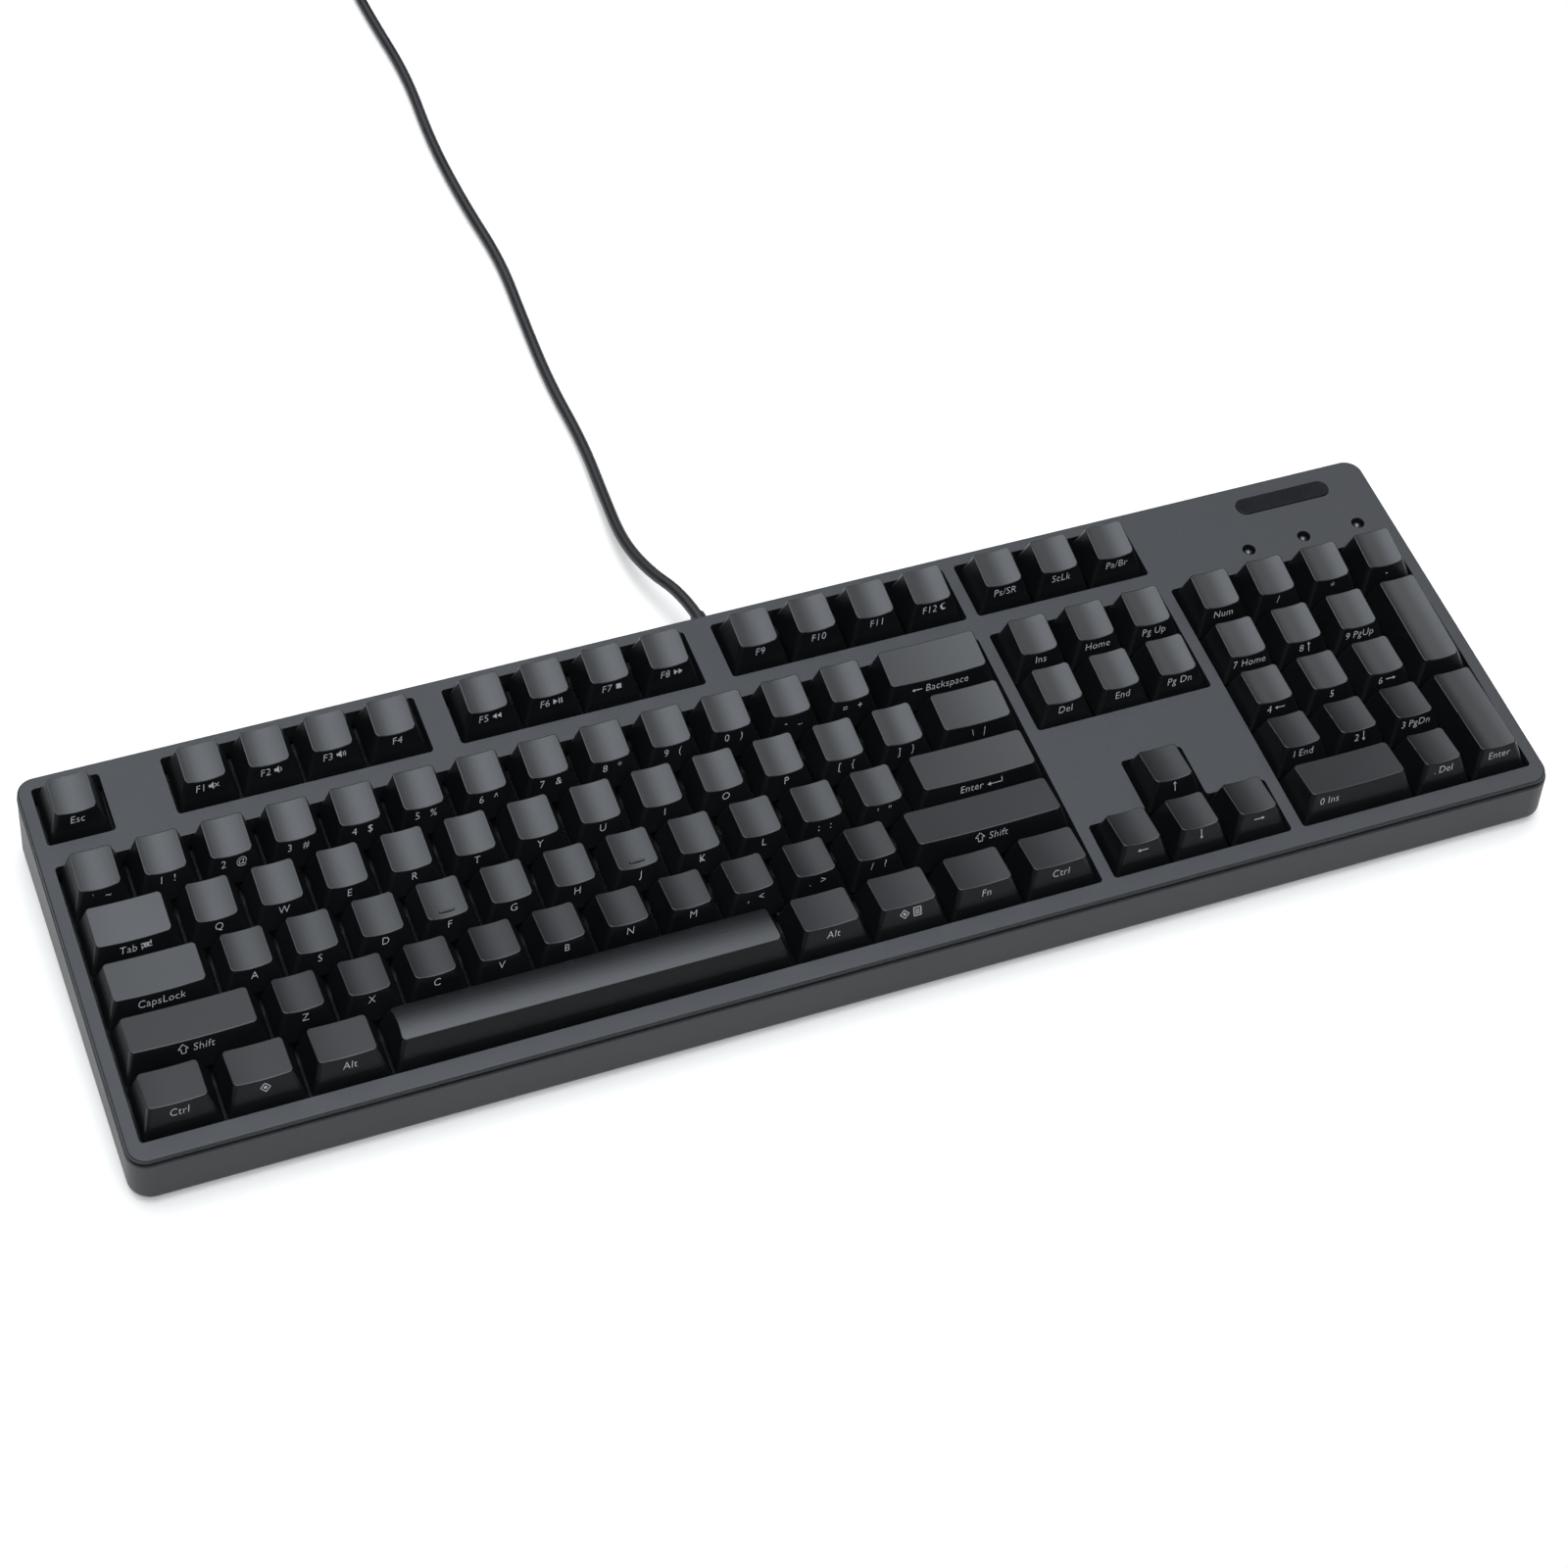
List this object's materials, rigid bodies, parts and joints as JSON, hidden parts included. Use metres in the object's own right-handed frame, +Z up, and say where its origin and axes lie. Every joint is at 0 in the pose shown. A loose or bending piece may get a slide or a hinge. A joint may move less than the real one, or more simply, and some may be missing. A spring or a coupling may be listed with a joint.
{
  "type": "mechanical keyboard",
  "caption": "Full-size mechanical keyboard with tapered front-printed key caps, folding tilt feet, indicator lamps and a cable with its plug.",
  "frame": {"origin": "on the desk plane under the middle of the case, without the cable", "axes": "+X to the user's right along the keyboard, +Y to the rear where the cable leaves, +Z up"},
  "size_m": [0.4398, 0.5604, 0.0355],
  "materials": {
    "case": "fine matte texture, charcoal",
    "cap": "satin, near black",
    "badge": "gloss, dark",
    "plate": "black powder coat",
    "board": "green solder mask",
    "switch": "fine matte, black",
    "spring": "bright wire",
    "screw": "blackened steel",
    "lamp": "clear diffused lens",
    "rubber": "matte",
    "cable": "satin jacket",
    "tie": "matte strap",
    "plug": "satin moulding",
    "shell": "bright plated steel"
  },
  "bodies": {
    "case": {"top_case": "case", "bottom_case": "case", "badge_plate": "badge", "switch_plate": "plate", "circuit_board": "board", "switch_bottoms": "switch", "switch_tops": "switch", "switch_springs": "spring", "indicator_lamps": "lamp", "case_screws": "screw", "rubber_feet": "rubber", "strain_relief": "cable", "cable_tube": "cable", "cable_coil": "cable", "coil_tie": "tie", "plug_body": "plug", "plug_shell": "shell"},
    "space_wire": {"space_bar_wire": "spring"},
    "left_tilt_foot": {"tilt_foot_left": "case"},
    "right_tilt_foot": {"tilt_foot_right": "case"},
    "key_space": {"key_space": "cap"},
    "key_enter": {"key_enter": "cap"},
    "key_left_shift": {"key_left_shift": "cap"},
    "key_backspace": {"key_backspace": "cap"},
    "key_escape": {"key_escape": "cap"},
    "function_keys": {"function_keys": "cap"},
    "number_keys": {"number_keys": "cap"},
    "numpad_keys": {"numpad_keys": "cap"},
    "modifier_keys": {"modifier_keys": "cap"},
    "arrow_keys": {"arrow_keys": "cap"},
    "navigation_keys": {"navigation_keys": "cap"},
    "punctuation_keys": {"punctuation_keys": "cap"},
    "key_tab": {"key_tab": "cap"},
    "key_right_shift": {"key_right_shift": "cap"},
    "key_a": {"key_a": "cap"},
    "key_s": {"key_s": "cap"},
    "key_d": {"key_d": "cap"},
    "key_f": {"key_f": "cap"},
    "key_g": {"key_g": "cap"},
    "key_h": {"key_h": "cap"},
    "key_j": {"key_j": "cap"},
    "key_k": {"key_k": "cap"},
    "key_l": {"key_l": "cap"},
    "key_q": {"key_q": "cap"},
    "key_w": {"key_w": "cap"},
    "key_e": {"key_e": "cap"},
    "key_r": {"key_r": "cap"},
    "key_t": {"key_t": "cap"},
    "key_y": {"key_y": "cap"},
    "key_u": {"key_u": "cap"},
    "key_i": {"key_i": "cap"},
    "key_o": {"key_o": "cap"},
    "key_p": {"key_p": "cap"},
    "key_z": {"key_z": "cap"},
    "key_x": {"key_x": "cap"},
    "key_c": {"key_c": "cap"},
    "key_v": {"key_v": "cap"},
    "key_b": {"key_b": "cap"},
    "key_n": {"key_n": "cap"},
    "key_m": {"key_m": "cap"}
  },
  "joints": [
    {"name": "space_press", "type": "slide", "parent": "case", "child": "key_space", "axis": [0, 0.0698, -0.9976], "range_m": [0, 0.004], "stiffness_N_per_m": 150, "springref_m": -0.002, "deforming": ["switch_springs"]},
    {"name": "space_wire_turn", "type": "hinge", "parent": "case", "child": "space_wire", "pos_m": [-0.08334, -0.04231, 0.01267], "axis": [1, 0, 0], "range_deg": [0, 25]},
    {"name": "left_foot_fold", "type": "hinge", "parent": "case", "child": "left_tilt_foot", "pos_m": [-0.186, 0.046, 0.0041], "axis": [1, 0, 0], "range_deg": [0, 90]},
    {"name": "right_foot_fold", "type": "hinge", "parent": "case", "child": "right_tilt_foot", "pos_m": [0.186, 0.046, 0.0041], "axis": [1, 0, 0], "range_deg": [0, 90]},
    {"name": "enter_press", "type": "slide", "parent": "case", "child": "key_enter", "axis": [0, 0.0698, -0.9976], "range_m": [0, 0.004], "stiffness_N_per_m": 150, "springref_m": -0.002, "deforming": ["switch_springs"]},
    {"name": "left_shift_press", "type": "slide", "parent": "case", "child": "key_left_shift", "axis": [0, 0.0698, -0.9976], "range_m": [0, 0.004], "stiffness_N_per_m": 150, "springref_m": -0.002, "deforming": ["switch_springs"]},
    {"name": "backspace_press", "type": "slide", "parent": "case", "child": "key_backspace", "axis": [0, 0.0698, -0.9976], "range_m": [0, 0.004], "stiffness_N_per_m": 150, "springref_m": -0.002, "deforming": ["switch_springs"]},
    {"name": "escape_press", "type": "slide", "parent": "case", "child": "key_escape", "axis": [0, 0.0698, -0.9976], "range_m": [0, 0.004], "stiffness_N_per_m": 150, "springref_m": -0.002, "deforming": ["switch_springs"]},
    {"name": "function_keys_press", "type": "slide", "parent": "case", "child": "function_keys", "axis": [0, 0.0698, -0.9976], "range_m": [0, 0.004], "stiffness_N_per_m": 1800, "springref_m": -0.002, "deforming": ["switch_springs"]},
    {"name": "number_keys_press", "type": "slide", "parent": "case", "child": "number_keys", "axis": [0, 0.0698, -0.9976], "range_m": [0, 0.004], "stiffness_N_per_m": 1950, "springref_m": -0.002, "deforming": ["switch_springs"]},
    {"name": "numpad_keys_press", "type": "slide", "parent": "case", "child": "numpad_keys", "axis": [0, 0.0698, -0.9976], "range_m": [0, 0.004], "stiffness_N_per_m": 2550, "springref_m": -0.002, "deforming": ["switch_springs"]},
    {"name": "modifier_keys_press", "type": "slide", "parent": "case", "child": "modifier_keys", "axis": [0, 0.0698, -0.9976], "range_m": [0, 0.004], "stiffness_N_per_m": 1200, "springref_m": -0.002, "deforming": ["switch_springs"]},
    {"name": "arrow_keys_press", "type": "slide", "parent": "case", "child": "arrow_keys", "axis": [0, 0.0698, -0.9976], "range_m": [0, 0.004], "stiffness_N_per_m": 600, "springref_m": -0.002, "deforming": ["switch_springs"]},
    {"name": "navigation_keys_press", "type": "slide", "parent": "case", "child": "navigation_keys", "axis": [0, 0.0698, -0.9976], "range_m": [0, 0.004], "stiffness_N_per_m": 1350, "springref_m": -0.002, "deforming": ["switch_springs"]},
    {"name": "punctuation_keys_press", "type": "slide", "parent": "case", "child": "punctuation_keys", "axis": [0, 0.0698, -0.9976], "range_m": [0, 0.004], "stiffness_N_per_m": 1200, "springref_m": -0.002, "deforming": ["switch_springs"]},
    {"name": "tab_press", "type": "slide", "parent": "case", "child": "key_tab", "axis": [0, 0.0698, -0.9976], "range_m": [0, 0.004], "stiffness_N_per_m": 150, "springref_m": -0.002, "deforming": ["switch_springs"]},
    {"name": "right_shift_press", "type": "slide", "parent": "case", "child": "key_right_shift", "axis": [0, 0.0698, -0.9976], "range_m": [0, 0.004], "stiffness_N_per_m": 150, "springref_m": -0.002, "deforming": ["switch_springs"]},
    {"name": "a_press", "type": "slide", "parent": "case", "child": "key_a", "axis": [0, 0.0698, -0.9976], "range_m": [0, 0.004], "stiffness_N_per_m": 150, "springref_m": -0.002, "deforming": ["switch_springs"]},
    {"name": "s_press", "type": "slide", "parent": "case", "child": "key_s", "axis": [0, 0.0698, -0.9976], "range_m": [0, 0.004], "stiffness_N_per_m": 150, "springref_m": -0.002, "deforming": ["switch_springs"]},
    {"name": "d_press", "type": "slide", "parent": "case", "child": "key_d", "axis": [0, 0.0698, -0.9976], "range_m": [0, 0.004], "stiffness_N_per_m": 150, "springref_m": -0.002, "deforming": ["switch_springs"]},
    {"name": "f_press", "type": "slide", "parent": "case", "child": "key_f", "axis": [0, 0.0698, -0.9976], "range_m": [0, 0.004], "stiffness_N_per_m": 150, "springref_m": -0.002, "deforming": ["switch_springs"]},
    {"name": "g_press", "type": "slide", "parent": "case", "child": "key_g", "axis": [0, 0.0698, -0.9976], "range_m": [0, 0.004], "stiffness_N_per_m": 150, "springref_m": -0.002, "deforming": ["switch_springs"]},
    {"name": "h_press", "type": "slide", "parent": "case", "child": "key_h", "axis": [0, 0.0698, -0.9976], "range_m": [0, 0.004], "stiffness_N_per_m": 150, "springref_m": -0.002, "deforming": ["switch_springs"]},
    {"name": "j_press", "type": "slide", "parent": "case", "child": "key_j", "axis": [0, 0.0698, -0.9976], "range_m": [0, 0.004], "stiffness_N_per_m": 150, "springref_m": -0.002, "deforming": ["switch_springs"]},
    {"name": "k_press", "type": "slide", "parent": "case", "child": "key_k", "axis": [0, 0.0698, -0.9976], "range_m": [0, 0.004], "stiffness_N_per_m": 150, "springref_m": -0.002, "deforming": ["switch_springs"]},
    {"name": "l_press", "type": "slide", "parent": "case", "child": "key_l", "axis": [0, 0.0698, -0.9976], "range_m": [0, 0.004], "stiffness_N_per_m": 150, "springref_m": -0.002, "deforming": ["switch_springs"]},
    {"name": "q_press", "type": "slide", "parent": "case", "child": "key_q", "axis": [0, 0.0698, -0.9976], "range_m": [0, 0.004], "stiffness_N_per_m": 150, "springref_m": -0.002, "deforming": ["switch_springs"]},
    {"name": "w_press", "type": "slide", "parent": "case", "child": "key_w", "axis": [0, 0.0698, -0.9976], "range_m": [0, 0.004], "stiffness_N_per_m": 150, "springref_m": -0.002, "deforming": ["switch_springs"]},
    {"name": "e_press", "type": "slide", "parent": "case", "child": "key_e", "axis": [0, 0.0698, -0.9976], "range_m": [0, 0.004], "stiffness_N_per_m": 150, "springref_m": -0.002, "deforming": ["switch_springs"]},
    {"name": "r_press", "type": "slide", "parent": "case", "child": "key_r", "axis": [0, 0.0698, -0.9976], "range_m": [0, 0.004], "stiffness_N_per_m": 150, "springref_m": -0.002, "deforming": ["switch_springs"]},
    {"name": "t_press", "type": "slide", "parent": "case", "child": "key_t", "axis": [0, 0.0698, -0.9976], "range_m": [0, 0.004], "stiffness_N_per_m": 150, "springref_m": -0.002, "deforming": ["switch_springs"]},
    {"name": "y_press", "type": "slide", "parent": "case", "child": "key_y", "axis": [0, 0.0698, -0.9976], "range_m": [0, 0.004], "stiffness_N_per_m": 150, "springref_m": -0.002, "deforming": ["switch_springs"]},
    {"name": "u_press", "type": "slide", "parent": "case", "child": "key_u", "axis": [0, 0.0698, -0.9976], "range_m": [0, 0.004], "stiffness_N_per_m": 150, "springref_m": -0.002, "deforming": ["switch_springs"]},
    {"name": "i_press", "type": "slide", "parent": "case", "child": "key_i", "axis": [0, 0.0698, -0.9976], "range_m": [0, 0.004], "stiffness_N_per_m": 150, "springref_m": -0.002, "deforming": ["switch_springs"]},
    {"name": "o_press", "type": "slide", "parent": "case", "child": "key_o", "axis": [0, 0.0698, -0.9976], "range_m": [0, 0.004], "stiffness_N_per_m": 150, "springref_m": -0.002, "deforming": ["switch_springs"]},
    {"name": "p_press", "type": "slide", "parent": "case", "child": "key_p", "axis": [0, 0.0698, -0.9976], "range_m": [0, 0.004], "stiffness_N_per_m": 150, "springref_m": -0.002, "deforming": ["switch_springs"]},
    {"name": "z_press", "type": "slide", "parent": "case", "child": "key_z", "axis": [0, 0.0698, -0.9976], "range_m": [0, 0.004], "stiffness_N_per_m": 150, "springref_m": -0.002, "deforming": ["switch_springs"]},
    {"name": "x_press", "type": "slide", "parent": "case", "child": "key_x", "axis": [0, 0.0698, -0.9976], "range_m": [0, 0.004], "stiffness_N_per_m": 150, "springref_m": -0.002, "deforming": ["switch_springs"]},
    {"name": "c_press", "type": "slide", "parent": "case", "child": "key_c", "axis": [0, 0.0698, -0.9976], "range_m": [0, 0.004], "stiffness_N_per_m": 150, "springref_m": -0.002, "deforming": ["switch_springs"]},
    {"name": "v_press", "type": "slide", "parent": "case", "child": "key_v", "axis": [0, 0.0698, -0.9976], "range_m": [0, 0.004], "stiffness_N_per_m": 150, "springref_m": -0.002, "deforming": ["switch_springs"]},
    {"name": "b_press", "type": "slide", "parent": "case", "child": "key_b", "axis": [0, 0.0698, -0.9976], "range_m": [0, 0.004], "stiffness_N_per_m": 150, "springref_m": -0.002, "deforming": ["switch_springs"]},
    {"name": "n_press", "type": "slide", "parent": "case", "child": "key_n", "axis": [0, 0.0698, -0.9976], "range_m": [0, 0.004], "stiffness_N_per_m": 150, "springref_m": -0.002, "deforming": ["switch_springs"]},
    {"name": "m_press", "type": "slide", "parent": "case", "child": "key_m", "axis": [0, 0.0698, -0.9976], "range_m": [0, 0.004], "stiffness_N_per_m": 150, "springref_m": -0.002, "deforming": ["switch_springs"]}
  ],
  "couplings": [
    {"joint": "space_wire_turn", "follows": "space_press", "rad_per_m": 105.4}
  ]
}
